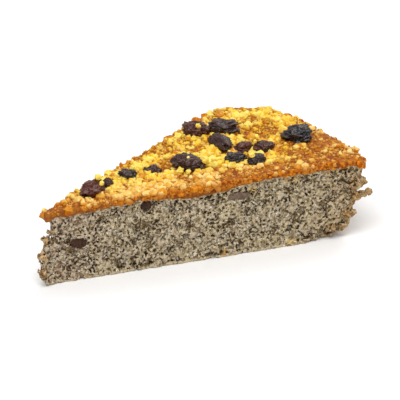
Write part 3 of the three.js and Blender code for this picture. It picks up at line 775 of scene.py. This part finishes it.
def perched_crumbs(name):
    """Lumpy crumbs that lie on the raisins, as one mesh."""
    body = bmesh.new()
    for seed, (number, x, y, size) in enumerate(PERCHED_CRUMBS):
        low, high = raisin_boxes[number - 1]
        spot = (low + high) / 2 + Vector((x, y, 0)) * MM
        skin = bpy.data.meshes[f"raisin_{number:02d}_skin"]
        around = [vertex.co.z for vertex in skin.vertices if (vertex.co.xy - spot.xy).length < 0.4 * MM]
        spot.z = max(around, default=low.z + 1.6 * MM) + 0.2 * size * MM
        made = bmesh.ops.create_icosphere(body, subdivisions=2, radius=size / 2 * MM, matrix=Matrix.Translation(spot))
        for vertex in made["verts"]:
            way = (vertex.co - spot) * (1 + 0.5 * noise.noise((vertex.co - spot) / MM * 1.4 + Vector((seed * 5, 0, 0))))
            vertex.co = spot + way
            vertex.co.z = min(vertex.co.z, cad_box[1][2])
    mesh = bpy.data.meshes.new(name)
    body.to_mesh(mesh)
    body.free()
    for label, value in (("tone", 0.3), ("lift", 2.0), ("upward", 1.0), ("yellow", 1.0), ("toasted", 0.0)):
        mesh.attributes.new(label, "FLOAT", "POINT").data.foreach_set("value", [value] * len(mesh.vertices))
    return mesh


raisin_skin = raisin_material()
for index, (name, (length, width, height, degrees, red)) in enumerate(zip(RAISIN_NAMES, RAISIN_SIZES)):
    low, high = raisin_boxes[index]
    mesh = wrinkled(f"{name}_skin", length, width, height, degrees, (low + high) / 2, index + 1)
    corners = [[pick(vertex.co[axis] for vertex in mesh.vertices) for axis in range(3)] for pick in (min, max)]
    reach = (high - low) * RAISIN_SPREAD[index]
    least = Vector((low.x - reach.x, low.y - reach.y, low.z))
    most = Vector((high.x + reach.x, high.y + reach.y, min(high.z + RAISIN_RISE * MM, cad_box[1][2])))
    for vertex in mesh.vertices:
        for axis in range(3):
            share = (vertex.co[axis] - corners[0][axis]) / (corners[1][axis] - corners[0][axis])
            vertex.co[axis] = least[axis] + share * (most[axis] - least[axis])
    mesh.attributes.new("red", "FLOAT", "POINT").data.foreach_set("value", [red] * len(mesh.vertices))
    mesh.materials.append(raisin_skin)
    mesh.shade_smooth()
    piece = new_piece(f"{name}_skin", mesh)
    place(piece, "raisin", name)

mesh = perched_crumbs("perched_crumbs")
mesh.materials.append(butter_crumble)
place(new_piece("perched_crumbs", mesh), "crumble")

# ---------------------------------------------------------------------------------------------------------------
# The cut raisins. The real ones were baked into the sponge and sliced by the knife: a flat, mauve-brown, moist face
# with a dark skin around it. Here each is a folded body with its front flattened to the cut.
# ---------------------------------------------------------------------------------------------------------------


def cut_flesh_material():
    material, tree, shader, spot = new_material("cut_flesh", Roughness=0.6, Specular_IOR_Level=0.2)
    ripe = mark(tree, "pale")
    dark = tint(tree, ripe, paint(48, 30, 20), paint(112, 92, 78))
    light = tint(tree, ripe, paint(72, 48, 32), paint(136, 116, 98))
    flesh = tint(tree, noise_field(tree, spot, 1.2, 2, 5).ramp(0.35, 0.65), light, dark)
    flesh = tint(tree, mark(tree, "skin"), flesh, tint(tree, ripe, paint(58, 38, 30), paint(98, 78, 64)))
    feed(tree, shader.inputs["Base Color"], flesh)
    roughen(tree, shader, noise_field(tree, spot, 0.5, 3), 0.15)
    return material


cut_flesh = cut_flesh_material()
for index, (along, height, length, tall) in enumerate(CUT_RAISINS, 1):
    name = f"cut_raisin_{index}"
    middle = CUTS_MEET + along_front(along, height) * MM
    mesh = wrinkled(f"{name}_flesh", length * 1.1, 5, tall * 1.15, -17.4, middle, 30 + index)
    outwards = along_front(0, 0, 1)
    skin = mesh.attributes.new("skin", "FLOAT", "POINT")
    for vertex in mesh.vertices:
        out = (vertex.co - middle).dot(outwards)
        skin.data[vertex.index].value = min(max((0.3 * MM - out) / (0.5 * MM), 0), 1)
        vertex.co += outwards * (min(out, 0.15 * MM + 0.08 * out) - out - 0.1 * MM)
    pale = (0, 0, 0.7)[index - 1]
    mesh.attributes.new("pale", "FLOAT", "POINT").data.foreach_set("value", [pale] * len(mesh.vertices))
    mesh.materials.append(cut_flesh)
    mesh.shade_smooth()
    piece = new_piece(f"{name}_flesh", mesh)
    place(piece, "cut_raisin", name)

# ---------------------------------------------------------------------------------------------------------------
# The camera, the table and the light: one long lens from the front left, a white table under a white sky and one
# large soft lamp from the upper left, as in a product photograph.
# ---------------------------------------------------------------------------------------------------------------

AZIMUTH, ELEVATION, DISTANCE = math.radians(-38.15), math.radians(24), 1.2
back = Vector((math.sin(AZIMUTH) * math.cos(ELEVATION), -math.cos(AZIMUTH) * math.cos(ELEVATION),
               math.sin(ELEVATION)))
right = Vector((math.cos(AZIMUTH), math.sin(AZIMUTH), 0))
up = back.cross(right)
target = CUTS_MEET + Vector((70, 0, 13)) * MM - right * 1.61 * MM - up * 0.14 * MM
lens = bpy.data.cameras.new("camera")
lens.sensor_width = 36
lens.lens = 307.8
camera = bpy.data.objects.new("camera", lens)
camera.matrix_world = Matrix((right, up, back)).transposed().to_4x4()
camera.location = target + back * DISTANCE
bpy.context.scene.collection.objects.link(camera)
bpy.context.scene.camera = camera

table = new_piece("table")
table.data.from_pydata([(-3, -3, 0), (3, -3, 0), (3, 3, 0), (-3, 3, 0)], [], [(0, 1, 2, 3)])
white, *_ = new_material("white_table", Roughness=0.9, Base_Color=(0.97, 0.97, 0.97, 1))
table.data.materials.append(white)

world = bpy.data.worlds.new("studio")
bpy.context.scene.world = world
world.use_nodes = True
world.node_tree.nodes["Background"].inputs["Color"].default_value = (1, 1, 1, 1)
world.node_tree.nodes["Background"].inputs["Strength"].default_value = 0.5
for name, offset, size, power in (("key", (-0.36, -0.36, 1.05), 0.8, 9.5), ("fill", (0.7, 0.3, 0.8), 0.6, 3)):
    lamp = bpy.data.lights.new(name, "AREA")
    lamp.size, lamp.energy = size, power
    light = bpy.data.objects.new(name, lamp)
    light.location = offset
    light.rotation_euler = Vector(offset).to_track_quat("Z", "Y").to_euler()
    bpy.context.scene.collection.objects.link(light)
bpy.context.scene.view_settings.view_transform = "Standard"
